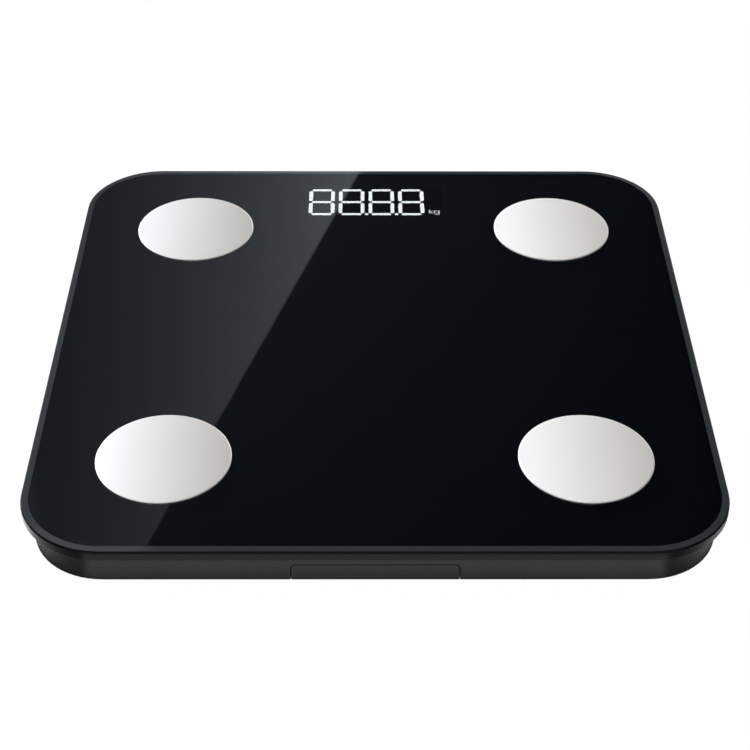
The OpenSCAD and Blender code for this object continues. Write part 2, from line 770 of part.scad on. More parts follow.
module cell_carrier(side, end) color([0.16, 0.16, 0.17]) at_corner(side, end) {
    ribs = 8;
    pocket = gauge_w + 2 * gauge_fit;
    difference() {
        union() {
            translate([0, 0, floor_top]) ring(carrier_r, skirt_r, rim_z - floor_top);
            translate([0, 0, gauge_z])
                cylinder(r = skirt_r + carrier_wall / 2, h = gauge_t + shelf_t, $fn = round_fn);
            translate([0, 0, gauge_top])
                cylinder(r = relief_d / 2 + carrier_wall, h = rim_z - gauge_top, $fn = round_fn);
            for (i = [0:ribs - 1])
                rotate(360 / ribs * i)
                    translate([(relief_d + carrier_wall) / 2, -rib_t / 2, gauge_top + weld])
                        cube([skirt_r - relief_d / 2, rib_t, rim_z - gauge_top - 2 * weld]);
            at_ears() translate([0, 0, ear_z]) cylinder(r = ear_r, h = ear_t, $fn = small_fn);
            for (turn = [0, quarter])
                rotate(turn) translate([carrier_r - carrier_wall / 2, -ear_web / 2, ear_z])
                    cube([ear_r + carrier_wall / 2, ear_web, ear_t]);
        }
        translate([0, 0, gauge_z - cut]) rounded_box(pocket, pocket, gauge_t + cut, gauge_r + gauge_fit);
        translate([0, 0, gauge_z]) cylinder(d = relief_d, h = rim_z, $fn = round_fn);
        at_ears() translate([0, 0, ear_z - cut])
            cylinder(r = screw_d / 2 + shaft_fit, h = ear_t + 2 * cut, $fn = small_fn);
        translate([relief_d / 2, notch_y - notch_w / 2, gauge_z])
            cube([carrier_r, notch_w, low_wire_z + wire_d - gauge_z]);
    }
}

// A stamped plate with a T-shaped tongue in its window: the neck bends when the foot lifts the head
module load_cell(side, end) color([0.7, 0.71, 0.72]) at_corner(side, end) {
    lug_hole_d = 2;
    difference() {
        translate([0, 0, gauge_z]) rounded_box(gauge_w, gauge_w, gauge_t, gauge_r);
        difference() {
            block(relief_d, relief_d, gauge_z - cut, gauge_top + cut);
            translate([-relief_d / 4, 0, 0])
                block(relief_d / 2 + cut, neck_w, gauge_z - 2 * cut, gauge_top + 2 * cut);
            block(head_len, head_w, gauge_z - 2 * cut, gauge_top + 2 * cut);
        }
        for (turn = [1:4])
            rotate(quarter * turn + quarter / 2)
                translate([gauge_w / 2 + gauge_frame / 2 - lug_hole_d / 4, 0, gauge_z - cut])
                    cylinder(d = lug_hole_d, h = gauge_t + 2 * cut, $fn = small_fn);
    }
}

module gauge_coats() color([0.93, 0.93, 0.91])
    for (side = [LEFT, RIGHT], end = [FRONT, REAR])
        at_corner(side, end) translate([clear + (coat_w - relief_d) / 2, 0, gauge_top])
            rounded_box(coat_w, coat_w, coat_t, coat_w / 4);

module foot_cup(side, end) color([0.17, 0.17, 0.18]) at_corner(side, end) {
    ribs = 6;
    r = foot_d / 2;
    lip_r = pad_d / 2 + clear / 2;
    lip_edge = pad_t - pad_proud;
    plate_top = pad_t + foot_wall;
    rotate_extrude($fn = round_fn)
        polygon([
            [0, pad_t], [lip_r, pad_t], [lip_r, pad_proud], [r - lip_edge, pad_proud], [r, pad_t],
            [r, flange_z], [flange_r, flange_z], [flange_r, flange_z + flange_t],
            [r - foot_wall, flange_z + flange_t], [r - foot_wall, plate_top], [0, plate_top]
        ]);
    translate([0, 0, plate_top - weld]) cylinder(d = post_d, h = gauge_z - plate_top + weld, $fn = small_fn);
    for (i = [0:ribs - 1])
        rotate(360 / ribs * i) translate([0, -rib_t / 2, plate_top - weld])
            cube([r - foot_wall / 2, rib_t, flange_z - plate_top]);
}

module foot_pad(side, end) color([0.1, 0.1, 0.1]) at_corner(side, end)
    difference() {
        cylinder(d = pad_d, h = pad_t, $fn = round_fn);
        for (r = [2 * tread_pitch:tread_pitch:(pad_d - tread_pitch) / 2])
            translate([0, 0, -cut]) ring(r, r - tread_pitch / 3, tread_h + cut);
    }

// Screws

module screw() {
    translate([0, 0, -screw_len]) cylinder(d = screw_d, h = screw_len, $fn = small_fn);
    difference() {
        rotate_extrude($fn = small_fn)
            polygon([[0, 0], [head_d / 2, 0], [head_d / 2, head_h / 2], [head_d / 3, head_h], [0, head_h]]);
        for (turn = [0, quarter])
            rotate(turn) block(head_d / 2, head_h / 3, head_h / 2, head_h + cut);
    }
}

module carrier_screws() color([0.7, 0.7, 0.72])
    for (side = [LEFT, RIGHT], end = [FRONT, REAR])
        at_corner(side, end) at_ears() translate([0, 0, ear_top]) screw();

module board_screws() color([0.7, 0.7, 0.72])
    at_board_screws() translate([0, 0, board_top]) screw();

// Three wires from each load cell lie on the ribs and end in the header on their side of the board
module cell_wires(side, end) color([0.75, 0.12, 0.1]) {
    for (k = [-1:1]) {
        out_y = end * (foot_pos - notch_y) - k * wire_pitch;
        lane_x = electrode_pos - (end == FRONT ? inner_lane : rear_lane) - k * wire_pitch;
        header_y = side_header_y + end * header_len / 4 - k * wire_pitch;
        wire(rounded_route([
            [side * (foot_pos - gauge_w / 2 + gauge_frame / 2), out_y, gauge_top + wire_d / 2],
            [side * (foot_pos - skirt_r), out_y, low_wire_z],
            [side * lane_x, out_y, low_wire_z],
            [side * lane_x, header_y, low_wire_z],
            [side * (side_header_x + header_d / 2 + wire_d), header_y, pin_z],
            [side * (side_header_x + header_d / 2), header_y, pin_z]
        ]), wire_d);
    }
}

// Battery bay

function cell_y(i) = bay_front + (i + 0.5) * cell_pitch;

module flap_outline(margin, below) {
    half = flap_half + margin;
    r = flap_r + margin;
    high = flap_h + below + margin;
    polygon(concat(
        [[-half, 0], [half, 0]],
        arc_points(half - r, high - r, r, 0, 90, 5),
        arc_points(r - half, high - r, r, 90, 180, 5)
    ));
}

module battery_door() color([0.2, 0.2, 0.2]) {
    plate_front = flap_t - body_half - weld;
    first_grip = 7;
    difference() {
        union() {
            intersection() {
                shell_outside();
                translate([0, flap_t - body_half, ground_gap])
                    rotate([90, 0, 0]) linear_extrude(flap_t + cut) flap_outline(0, 0);
            }
            translate([0, (plate_front + door_back) / 2, 0]) {
                depth = door_back - plate_front;
                block(2 * rim_out, depth, ground_gap, door_top);
                for (side = [LEFT, RIGHT])
                    translate([side * (rim_in + rim_out) / 2, 0, 0])
                        block(slide_rim, depth, ground_gap, tongue_top);
            }
            for (side = [LEFT, RIGHT])
                translate([side * (rim_in + tongue_out) / 2, (plate_front + door_back + flap_t) / 2, 0])
                    block(tongue_out - rim_in, door_back - plate_front - flap_t, tongue_z, tongue_top);
        }
        for (i = [0:grip_count - 1])
            translate([0, first_grip - body_half + 2 * i * grip_w, 0])
                block(grip_len, grip_w, ground_gap - cut, ground_gap + grip_depth);
    }
}

// A dry cell on its side, with its positive nub towards the given side
module dry_cell(i, side) color([0.82, 0.66, 0.3]) {
    r = cell_d / 2;
    nub_r = nub_d / 2;
    can = cell_len - nub_h;
    crimp = 0.5;
    sunk = 0.2;
    negative_x = -side * (bay_len / 2 - plate_t - spring_h);
    translate([negative_x, cell_y(i), cell_axis_z])
        rotate([0, side * 90, 0]) rotate_extrude($fn = round_fn)
            polygon([
                [0, sunk], [nub_r, sunk], [nub_r + crimp, 0], [r - crimp, 0], [r, crimp],
                [r, can - crimp], [r - crimp, can], [nub_r + crimp, can], [nub_r, can - sunk],
                [nub_r, cell_len - sunk], [nub_r - sunk, cell_len], [0, cell_len]
            ]);
}

// A contact plate stands against the bay's end wall on the given side, behind some of the cells
module contact_plate(side, first, last) {
    translate([side * (bay_len - plate_t) / 2, (cell_y(first) + cell_y(last)) / 2, cell_axis_z])
        block(plate_t, (last - first) * cell_pitch + contact_w, -contact_w / 2, contact_w / 2);
}

module contact_bump(side, i) {
    translate([side * (bay_len / 2 - plate_t), cell_y(i), cell_axis_z]) rotate([0, -side * 90, 0])
        cylinder(d1 = nub_d + bump_h, d2 = nub_d - bump_h, h = bump_h, $fn = small_fn);
}

// A cone of wire from the plate to the flat end of the cell
module contact_spring(side, i) {
    turns = 3.5;
    steps = 12; // per turn
    wide_r = cell_d / 3;
    narrow_r = cell_d / 5;
    start = bay_len / 2 - plate_t + spring_wire / 4;
    reach = spring_h - shaft_fit - spring_wire * 3 / 4;
    route = [
        for (k = [0:turns * steps])
            let (part = k / (turns * steps), r = wide_r + (narrow_r - wide_r) * part, a = 360 * k / steps)
            [side * (start - reach * part), cell_y(i) + r * cos(a), cell_axis_z + r * sin(a)]
    ];
    wire(route, spring_wire, [1, 0, 0]);
}

module contact_tail(side, i) {
    tail_len = tail_x - bay_len / 2 + plate_t;
    translate([side * (tail_x - tail_len / 2), cell_y(i), tail_z])
        block(tail_len, tail_w, -plate_t / 2, plate_t / 2);
}

module terminal_minus() color([0.78, 0.78, 0.78]) {
    contact_plate(LEFT, 0, 0);
    contact_spring(LEFT, 0);
    contact_tail(LEFT, 0);
}

module terminal_plus() color([0.78, 0.78, 0.78]) {
    contact_plate(RIGHT, cells - 1, cells - 1);
    contact_bump(RIGHT, cells - 1);
    contact_tail(RIGHT, cells - 1);
}

module bridge_left() color([0.78, 0.78, 0.78]) {
    contact_plate(LEFT, 1, 2);
    contact_bump(LEFT, 1);
    contact_spring(LEFT, 2);
}

module bridge_right() color([0.78, 0.78, 0.78]) {
    contact_plate(RIGHT, 0, 1);
    contact_bump(RIGHT, 0);
    contact_spring(RIGHT, 1);
}

// Two leads run from the terminals' tails back between the ribs to the front header
module battery_leads() color([0.75, 0.12, 0.1]) {
    lane_x = tail_x + tail_w;
    pin_x = pin_pitch / 2;
    for (side = [LEFT, RIGHT]) {
        start_y = side == LEFT ? cell_y(0) : cell_y(cells - 1);
        turn_y = bay_rear + bay_wall + bend_r;
        wire(rounded_route([
            [side * tail_x, start_y, tail_z],
            [side * lane_x, start_y, tail_z],
            [side * lane_x, turn_y, low_wire_z],
            [side * pin_x, turn_y + 2 * bend_r, low_wire_z],
            [side * pin_x, board_front - 2 * wire_d, low_wire_z],
            [side * pin_x, front_header_y - header_d / 2 - wire_d, pin_z],
            [side * pin_x, front_header_y - header_d / 2, pin_z]
        ]), wire_d);
    }
}

// Board and what is on it

module main_board() color([0.05, 0.3, 0.14])
    difference() {
        translate([0, board_y, board_z]) rounded_box(board_w, board_d, board_t, 2);
        at_board_screws() translate([0, 0, board_z - cut])
            cylinder(r = screw_d / 2 + shaft_fit, h = board_t + 2 * cut, $fn = small_fn);
    }

// A part soldered under the board, from its place, width, depth and height
module under_board(part) {
    translate([part[0], board_y + part[1], 0]) block(part[2], part[3], board_z - part[4], board_z);
}

module board_chips() color([0.08, 0.08, 0.09])
    for (part = chips)
        under_board(part);

module radio_module() color([0.1, 0.22, 0.42]) {
    under_board(radio);
    under_board(radio_can);
}

module wire_headers() color([0.9, 0.89, 0.84]) {
    for (side = [LEFT, RIGHT])
        translate([side * side_header_x, side_header_y, board_top]) block(header_d, header_len, 0, header_h);
    translate([0, front_header_y, board_top]) block(front_header_w, header_d, 0, header_h);
}

module unit_switch() color([0.12, 0.12, 0.13]) {
    depth = plunger_sunk + button_travel + clear;
    translate([0, button_y, 0]) difference() {
        block(switch_w, switch_w, switch_z, board_z);
        translate([0, 0, switch_z - cut])
            cylinder(r = plunger_d / 2 + shaft_fit, h = depth + cut, $fn = small_fn);
    }
}

module switch_plunger() color([0.75, 0.7, 0.5])
    translate([0, button_y, button_top])
        cylinder(d = plunger_d, h = switch_z - button_top + plunger_sunk, $fn = small_fn);

module unit_button() color([0.24, 0.24, 0.25]) {
    r = button_d / 2;
    dish = 0.3;
    translate([0, button_y, 0]) rotate_extrude($fn = round_fn)
        polygon([
            [0, button_z + dish], [r - 3 * dish, button_z + dish], [r - 2 * dish, button_z],
            [r, button_z + dish], [r, button_flange_z], [r + button_flange, button_flange_z],
            [r + button_flange, button_top], [0, button_top]
        ]);
}

// Display

module segment_outline(length, w) {
    half = length / 2;
    side = w / 2;
    polygon([
        [half - seg_cut, side], [seg_cut - half, side], [-half, side - seg_cut], [-half, seg_cut - side],
        [seg_cut - half, -side], [half - seg_cut, -side], [half, seg_cut - side], [half, side - seg_cut]
    ]);
}

// The outlines of all lit shapes, each grown by a margin
module display_shapes(margin) {
    bar = digit_w - 2 * stroke + seg_cut;
    upright = (digit_h - 3 * stroke) / 2 - seg_gap;
    grown = stroke + 2 * margin;
    for (i = [0:digits - 1])
        translate([digits_x + (i - (digits - 1) / 2) * digit_pitch, digits_y]) {
            for (level = [-1:1])
                translate([0, level * (digit_h - stroke) / 2]) segment_outline(bar + 2 * margin, grown);
            for (side = [LEFT, RIGHT], end = [FRONT, REAR])
                translate([side * (digit_w - stroke) / 2, end * (digit_h - stroke) / 4])
                    rotate(quarter) segment_outline(upright + 2 * margin, grown);
            if (i == 1 || i == 2)
                translate([digit_pitch / 2, (dot_d - digit_h) / 2])
                    circle(r = dot_d / 2 + margin, $fn = small_fn);
        }
    translate([legend_x, legend_y]) square([legend_w + 2 * margin, legend_h + 2 * margin], center = true);
}

module display_housing() color([0.93, 0.93, 0.92])
    difference() {
        translate([window_x, digits_y, 0]) block(housing_w, housing_h, board_top, housing_top);
        translate([0, 0, board_top - cut])
            linear_extrude(housing_top - board_top + 2 * cut) display_shapes(diffuser_fit);
    }

module display_diffusers() color([1, 1, 1])
    translate([0, 0, housing_top - diffuser_t]) linear_extrude(diffuser_t) display_shapes(0);

module display_leds() color([0.95, 0.9, 0.55]) {
    for (i = [0:digits - 1])
        translate([digits_x + (i - (digits - 1) / 2) * digit_pitch, digits_y, board_top]) {
            for (level = [-1:1])
                translate([0, level * (digit_h - stroke) / 2, 0]) block(led_w, led_d, 0, led_h);
            for (side = [LEFT, RIGHT], end = [FRONT, REAR])
                translate([side * (digit_w - stroke) / 2, end * (digit_h - stroke) / 4, 0])
                    block(led_d, led_w, 0, led_h);
        }
    translate([legend_x, legend_y, board_top]) block(led_w, led_d, 0, led_h);
}

module display_gasket() color([0.15, 0.15, 0.15])
    translate([window_x, digits_y, 0])
        difference() {
            block(housing_w, housing_h, housing_top, print_z);
            block(window_w, window_h, housing_top - cut, print_z + cut);
        }

platform_glass();
back_print();
display_window();
bond_tape();
electrode(LEFT, FRONT);  // electrode_front_left
electrode(RIGHT, FRONT);  // electrode_front_right
electrode(LEFT, REAR);  // electrode_rear_left
electrode(RIGHT, REAR);  // electrode_rear_right
electrode_glue();
electrode_washers();
electrode_lugs();
electrode_nuts();
electrode_wires();
base_shell();
cell_carrier(LEFT, FRONT);  // cell_carrier_front_left
cell_carrier(RIGHT, FRONT);  // cell_carrier_front_right
cell_carrier(LEFT, REAR);  // cell_carrier_rear_left
cell_carrier(RIGHT, REAR);  // cell_carrier_rear_right
load_cell(LEFT, FRONT);  // load_cell_front_left
load_cell(RIGHT, FRONT);  // load_cell_front_right
load_cell(LEFT, REAR);  // load_cell_rear_left
load_cell(RIGHT, REAR);  // load_cell_rear_right
gauge_coats();
carrier_screws();
foot_cup(LEFT, FRONT);  // foot_cup_front_left
foot_cup(RIGHT, FRONT);  // foot_cup_front_right
foot_cup(LEFT, REAR);  // foot_cup_rear_left
foot_cup(RIGHT, REAR);  // foot_cup_rear_right
foot_pad(LEFT, FRONT);  // foot_pad_front_left
foot_pad(RIGHT, FRONT);  // foot_pad_front_right
foot_pad(LEFT, REAR);  // foot_pad_rear_left
foot_pad(RIGHT, REAR);  // foot_pad_rear_right
cell_wires(LEFT, FRONT);  // cell_wires_front_left
cell_wires(RIGHT, FRONT);  // cell_wires_front_right
cell_wires(LEFT, REAR);  // cell_wires_rear_left
cell_wires(RIGHT, REAR);  // cell_wires_rear_right
battery_door();
dry_cell(0, RIGHT);  // dry_cell_front
dry_cell(1, LEFT);  // dry_cell_middle
dry_cell(2, RIGHT);  // dry_cell_rear
terminal_minus();
terminal_plus();
bridge_left();
bridge_right();
battery_leads();
main_board();
board_chips();
radio_module();
wire_headers();
board_screws();
unit_switch();
switch_plunger();
unit_button();
display_housing();
display_diffusers();
display_leds();
display_gasket();
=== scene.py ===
import math
import bpy
from mathutils import Matrix, Vector


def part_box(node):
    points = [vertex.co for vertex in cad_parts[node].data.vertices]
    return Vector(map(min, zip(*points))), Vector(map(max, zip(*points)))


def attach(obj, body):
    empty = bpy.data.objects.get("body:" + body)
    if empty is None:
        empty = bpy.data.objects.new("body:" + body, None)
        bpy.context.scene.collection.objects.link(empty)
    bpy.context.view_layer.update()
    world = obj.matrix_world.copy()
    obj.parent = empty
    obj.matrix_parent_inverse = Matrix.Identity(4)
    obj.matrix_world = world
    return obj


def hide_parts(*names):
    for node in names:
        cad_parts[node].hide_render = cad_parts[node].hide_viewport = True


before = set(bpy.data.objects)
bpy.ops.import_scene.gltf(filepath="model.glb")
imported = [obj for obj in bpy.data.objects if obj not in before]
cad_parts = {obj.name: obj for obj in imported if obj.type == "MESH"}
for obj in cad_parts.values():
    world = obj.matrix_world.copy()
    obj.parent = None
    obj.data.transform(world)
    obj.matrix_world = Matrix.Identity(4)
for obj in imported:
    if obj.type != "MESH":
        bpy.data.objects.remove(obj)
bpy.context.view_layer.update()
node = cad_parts

# ---------------------------------------------------------------- studio
# The scale stands on a white table in a soft studio. The camera looks down at it from the front.
# A graded card behind it is what the glass mirrors, and soft boxes light the steel and the plastic.
MM = 0.001


def put(name, data):
    """A new object in the scene."""
    made = bpy.data.objects.new(name, data)
    bpy.context.scene.collection.objects.link(made)
    return made


# Camera: lens, place and turn of a product shot from just left of the middle
glass_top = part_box("platform_glass")[1].z
camera_at = Vector((-3.4035 * MM, -586.021 * MM, glass_top + 428.620 * MM))
pitch, yaw, roll = 0.65484, 0.00644, 0.00414
forward = Vector((math.sin(yaw) * math.cos(pitch), math.cos(yaw) * math.cos(pitch), -math.sin(pitch)))
level = Vector((math.cos(yaw), -math.sin(yaw), 0))
upward = level.cross(forward)
right = level * math.cos(roll) + upward * math.sin(roll)
above = upward * math.cos(roll) - level * math.sin(roll)
camera = put("camera", bpy.data.cameras.new("camera"))
camera.data.sensor_width = 36
camera.data.lens = 84.51
camera.data.clip_start = 0.01
camera.matrix_world = Matrix.Translation(camera_at) @ Matrix((right, above, -forward)).transposed().to_4x4()
bpy.context.scene.camera = camera
bpy.context.scene.view_settings.view_transform = "Standard"


def linear(hexcode):
    """An sRGB hex colour as linear red, green, blue and alpha."""
    parts = [int(hexcode[i:i + 2], 16) / 255 for i in (1, 3, 5)]
    return [c / 12.92 if c <= 0.04045 else ((c + 0.055) / 1.055) ** 2.4 for c in parts] + [1.0]


def add(owner, kind, sockets=None, **settings):
    """Adds a node to a material or world, sets it up, and feeds each named socket a value or a link."""
    tree = owner.node_tree
    made = tree.nodes.new("ShaderNode" + kind)
    for key, value in settings.items():
        setattr(made, key, value)
    for key, value in (sockets or {}).items():
        if isinstance(value, bpy.types.NodeSocket):
            tree.links.new(value, made.inputs[key])
        else:
            made.inputs[key].default_value = value
    return made


# World: white round the horizon behind, a dimmer ceiling overhead, and a dark end where the camera is.
# Heights are sines of the angle above the horizon.
ceiling, dark_end = 0.42, 0.15
horizon_top = math.sin(math.radians(24))
horizon_plain = 0.4 * horizon_top
dark_end_low, dark_end_top = math.sin(math.radians(32)), math.sin(math.radians(46))
dark_end_starts, dark_end_full = -0.1, -0.5
world = bpy.data.worlds.new("studio")
bpy.context.scene.world = world
world.use_nodes = True
world.node_tree.nodes.clear()
rays = add(world, "LightPath")
toward = add(world, "TexCoord")
split = add(world, "SeparateXYZ", {"Vector": toward.outputs["Generated"]})
far_wall = add(world, "MapRange", {"Value": split.outputs["Z"], "From Min": horizon_plain,
                                   "From Max": horizon_top, "To Min": 1.0, "To Max": ceiling},
               interpolation_type="SMOOTHSTEP")
near_wall = add(world, "MapRange", {"Value": split.outputs["Z"], "From Min": dark_end_low,
                                    "From Max": dark_end_top, "To Min": dark_end, "To Max": ceiling},
                interpolation_type="SMOOTHSTEP")
near = add(world, "MapRange", {"Value": split.outputs["Y"], "From Min": dark_end_starts,
                               "From Max": dark_end_full})
walls = add(world, "Mix", {"Factor": near.outputs["Result"], "A": far_wall.outputs["Result"],
                           "B": near_wall.outputs["Result"]})
mirrored = add(world, "Math", {0: rays.outputs["Is Glossy Ray"], 1: rays.outputs["Is Transmission Ray"]},
               operation="MAXIMUM")
room = add(world, "Mix", {"Factor": mirrored.outputs[0], "A": ceiling, "B": walls.outputs[0]})
seen = add(world, "Mix", {"Factor": rays.outputs["Is Camera Ray"], "A": room.outputs[0], "B": 1.0})
sky = add(world, "Background", {"Color": linear("#ffffff"), "Strength": seen.outputs[0]})
add(world, "OutputWorld", {"Surface": sky.outputs[0]})


def new_finish(name):
    """An empty node material for one real finish, and its output node."""
    material = bpy.data.materials.new(name)
    material.use_nodes = True
    material.node_tree.nodes.clear()
    output = material.node_tree.nodes.new("ShaderNodeOutputMaterial")
    return material, output


def show(material, output, shader):
    """Links a material's last shader to its output."""
    material.node_tree.links.new(shader.outputs[0], output.inputs["Surface"])


def flat_sheet(name, corner_points, material):
    """A flat piece of the studio with four corners."""
    mesh = bpy.data.meshes.new(name)
    mesh.from_pydata(corner_points, [], [(0, 1, 2, 3)])
    mesh.materials.append(material)
    return put(name, mesh)


# Floor: a white laminate table that stays white to the eye and keeps a faint shadow. Where the plastic
# and the glass mirror it, its glow is painted: a painted lit band round the scale, painted shade off
# the front corners and at the right towards the back, and painted shadow near the scale.
# Under the tray it lies in full shade.
# Bearings are taken round each front corner's centre, from straight ahead to straight aside.
floor_half = 4.0
tray_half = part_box("base_shell")[1].x
tray_corner = 28 * MM
straight_half = tray_half - tray_corner
front_level, painted_shade_level = 0.63, 0.15
painted_shade_starts, painted_shade_full = math.radians(15), math.radians(23)
side_level, side_power = 1.25, 2.0
side_starts, side_full = math.radians(20), math.radians(90)
right_cut = 0.86
right_cut_starts, right_cut_full = math.radians(64), math.radians(98)
close_level, band_level, far_level = 0.15, 1.2, 0.1
close_ends, band_starts, band_ends, far_starts = 4 * MM, 14 * MM, 16 * MM, 40 * MM
shade_starts, shade_full = 5.7 * MM, 6.3 * MM
glow_to_eye, glow_through_glass = 0.98, 0.93
floor_white, floor_out = new_finish("white_laminate_table")
rays = add(floor_white, "LightPath")
place = add(floor_white, "TexCoord")
split = add(floor_white, "SeparateXYZ", {"Vector": place.outputs["Object"]})
off_x = add(floor_white, "Math", {0: split.outputs["X"]}, operation="ABSOLUTE")
aside = add(floor_white, "Math", {0: off_x.outputs[0], 1: straight_half}, operation="SUBTRACT")
ahead = add(floor_white, "Math", {0: split.outputs["Y"], 1: -1.0, 2: -straight_half},
            operation="MULTIPLY_ADD")
bearing = add(floor_white, "Math", {0: aside.outputs[0], 1: ahead.outputs[0]}, operation="ARCTAN2")
# Painted shade off the front corners.
painted_shade = add(floor_white, "MapRange", {"Value": bearing.outputs[0], "From Min": painted_shade_starts,
                                        "From Max": painted_shade_full, "To Min": front_level,
                                        "To Max": painted_shade_level}, interpolation_type="SMOOTHSTEP")
sideways = add(floor_white, "MapRange", {"Value": bearing.outputs[0], "From Min": side_starts,
                                         "From Max": side_full})
sideways = add(floor_white, "Math", {0: sideways.outputs[0], 1: side_power}, operation="POWER")
mirrored = add(floor_white, "Math", {0: sideways.outputs[0], 1: side_level, 2: painted_shade.outputs[0]},
               operation="MULTIPLY_ADD")
# Painted shade at the right, towards the back.
behind = add(floor_white, "MapRange", {"Value": bearing.outputs[0], "From Min": right_cut_starts,
                                       "From Max": right_cut_full, "To Max": right_cut})
rightward = add(floor_white, "Math", {0: split.outputs["X"], 1: 0.0}, operation="GREATER_THAN")
cut = add(floor_white, "Math", {0: behind.outputs[0], 1: rightward.outputs[0]}, operation="MULTIPLY")
kept = add(floor_white, "Math", {0: 1.0, 1: cut.outputs[0]}, operation="SUBTRACT")
past_x = add(floor_white, "Math", {0: aside.outputs[0], 1: 0.0}, operation="MAXIMUM")
past_front = add(floor_white, "Math", {0: ahead.outputs[0], 1: 0.0}, operation="MAXIMUM")
reach = add(floor_white, "CombineXYZ", {"X": past_x.outputs[0], "Y": past_front.outputs[0]})
reach = add(floor_white, "VectorMath", {0: reach.outputs[0]}, operation="LENGTH")
# Painted shadow near the scale, then a painted lit band round it that fades further out.
close = add(floor_white, "MapRange", {
    "Value": reach.outputs["Value"], "From Min": tray_corner + close_ends,
    "From Max": tray_corner + band_starts, "To Min": close_level, "To Max": band_level})
away = add(floor_white, "MapRange", {
    "Value": reach.outputs["Value"], "From Min": tray_corner + band_ends,
    "From Max": tray_corner + far_starts, "To Min": 1.0, "To Max": far_level})
for factor in (close, away, kept):
    mirrored = add(floor_white, "Math", {0: mirrored.outputs[0], 1: factor.outputs[0]},
                   operation="MULTIPLY")
strength = add(floor_white, "Mix", {"Factor": rays.outputs["Is Glossy Ray"], "A": 1.0,
                                    "B": mirrored.outputs[0]})
paint = add(floor_white, "BsdfDiffuse", {"Color": linear("#e6e6e6")})
glow = add(floor_white, "Emission", {"Color": linear("#ffffff"), "Strength": strength.outputs[0]})
off_y = add(floor_white, "Math", {0: split.outputs["Y"]}, operation="ABSOLUTE")
past_y = add(floor_white, "Math", {0: off_y.outputs[0], 1: straight_half}, operation="SUBTRACT")
past_y = add(floor_white, "Math", {0: past_y.outputs[0], 1: 0.0}, operation="MAXIMUM")
span = add(floor_white, "CombineXYZ", {"X": past_x.outputs[0], "Y": past_y.outputs[0]})
span = add(floor_white, "VectorMath", {0: span.outputs[0]}, operation="LENGTH")
unshaded = add(floor_white, "MapRange", {
    "Value": span.outputs["Value"], "From Min": tray_corner - shade_full,
    "From Max": tray_corner - shade_starts, "To Max": glow_to_eye})
eye = add(floor_white, "Math", {0: rays.outputs["Is Camera Ray"], 1: unshaded.outputs[0]},
          operation="MULTIPLY")
through = add(floor_white, "Math", {0: rays.outputs["Is Transmission Ray"], 1: glow_through_glass},
              operation="MULTIPLY")
share = add(floor_white, "Math", {0: eye.outputs[0], 1: rays.outputs["Is Glossy Ray"]}, operation="MAXIMUM")
share = add(floor_white, "Math", {0: share.outputs[0], 1: through.outputs[0]}, operation="MAXIMUM")
both = add(floor_white, "MixShader", {0: share.outputs[0], 1: paint.outputs[0], 2: glow.outputs[0]})
show(floor_white, floor_out, both)
floor = flat_sheet("table", [(-floor_half, -floor_half, 0), (floor_half, -floor_half, 0),
                             (floor_half, floor_half, 0), (-floor_half, floor_half, 0)], floor_white)

# Card: dark, with one bright field that ends in a slanted edge, upright at its foot and steeper again at
# its top. The field grows brighter towards that edge. Both parts are graded across lines that fan out
# from a point far below the floor, which stand upright in the glass. The field is brighter too at its
# far left and along its top, which the ground bevel mirrors. Heights are above the floor, in metres.
card_y = 0.700
card_low, card_high, card_half = 0.060, 1.900, 0.800
edge_low, edge_high = Vector((-8.5 * MM, 364.2 * MM)), Vector((-221.0 * MM, 794.7 * MM))
edge_lean = (edge_high.x - edge_low.x) / (edge_high.y - edge_low.y)
edge_soft = 1.5 * MM
upper_lean, upper_x = -0.0655, -0.199
fan_slope, fan_base = 0.39, 0.827
growth, growth_offset = 7.66, 0.417
gain_starts, gain_full, gain_low, gain_high = 0.37, 0.80, 0.66, 1.10
foot_starts, foot_full, foot_gain = 0.34, 0.27, 1.3
left_starts, left_full = -0.30, -0.33
left_top, left_foot, left_dim, left_bright = 0.43, 0.30, 0.28, 1.10
crown_starts, crown_full, crown_level = 0.83, 0.93, 0.64
dark_from, dark_until, dark_left, dark_right = -0.20, 0.30, 0.128, 0.018
fade_starts, fade_full, faded = 0.40, 0.80, 0.62
card, card_out = new_finish("graded_studio_card")
place = add(card, "TexCoord")
split = add(card, "SeparateXYZ", {"Vector": place.outputs["Object"]})
card_x, card_z = split.outputs["X"], split.outputs["Z"]
rise = add(card, "Math", {0: card_z, 1: -edge_low.y}, operation="ADD")
edge_x = add(card, "Math", {0: rise.outputs[0], 1: edge_lean, 2: edge_low.x}, operation="MULTIPLY_ADD")
edge_x = add(card, "Math", {0: edge_x.outputs[0], 1: edge_low.x}, operation="MINIMUM")
upper = add(card, "Math", {0: rise.outputs[0], 1: upper_lean, 2: upper_x}, operation="MULTIPLY_ADD")
edge_x = add(card, "Math", {0: edge_x.outputs[0], 1: upper.outputs[0]}, operation="MAXIMUM")
past = add(card, "Math", {0: card_x, 1: edge_x.outputs[0]}, operation="SUBTRACT")
lit = add(card, "MapRange", {"Value": past.outputs[0], "From Min": edge_soft, "From Max": -edge_soft})
widen = add(card, "Math", {0: card_z, 1: fan_slope, 2: fan_base}, operation="MULTIPLY_ADD")
across = add(card, "Math", {0: card_x, 1: widen.outputs[0]}, operation="DIVIDE")
field = add(card, "Math", {0: across.outputs[0], 1: growth, 2: growth_offset}, operation="MULTIPLY_ADD")
field = add(card, "Math", {0: field.outputs[0]}, operation="EXPONENT")
gain = add(card, "MapRange", {"Value": card_z, "From Min": gain_starts, "From Max": gain_full,
                              "To Min": gain_low, "To Max": gain_high})
foot = add(card, "MapRange", {"Value": card_z, "From Min": foot_starts, "From Max": foot_full,
                              "To Min": 1.0, "To Max": foot_gain})
for factor in (gain, foot):
    field = add(card, "Math", {0: field.outputs[0], 1: factor.outputs[0]}, operation="MULTIPLY")
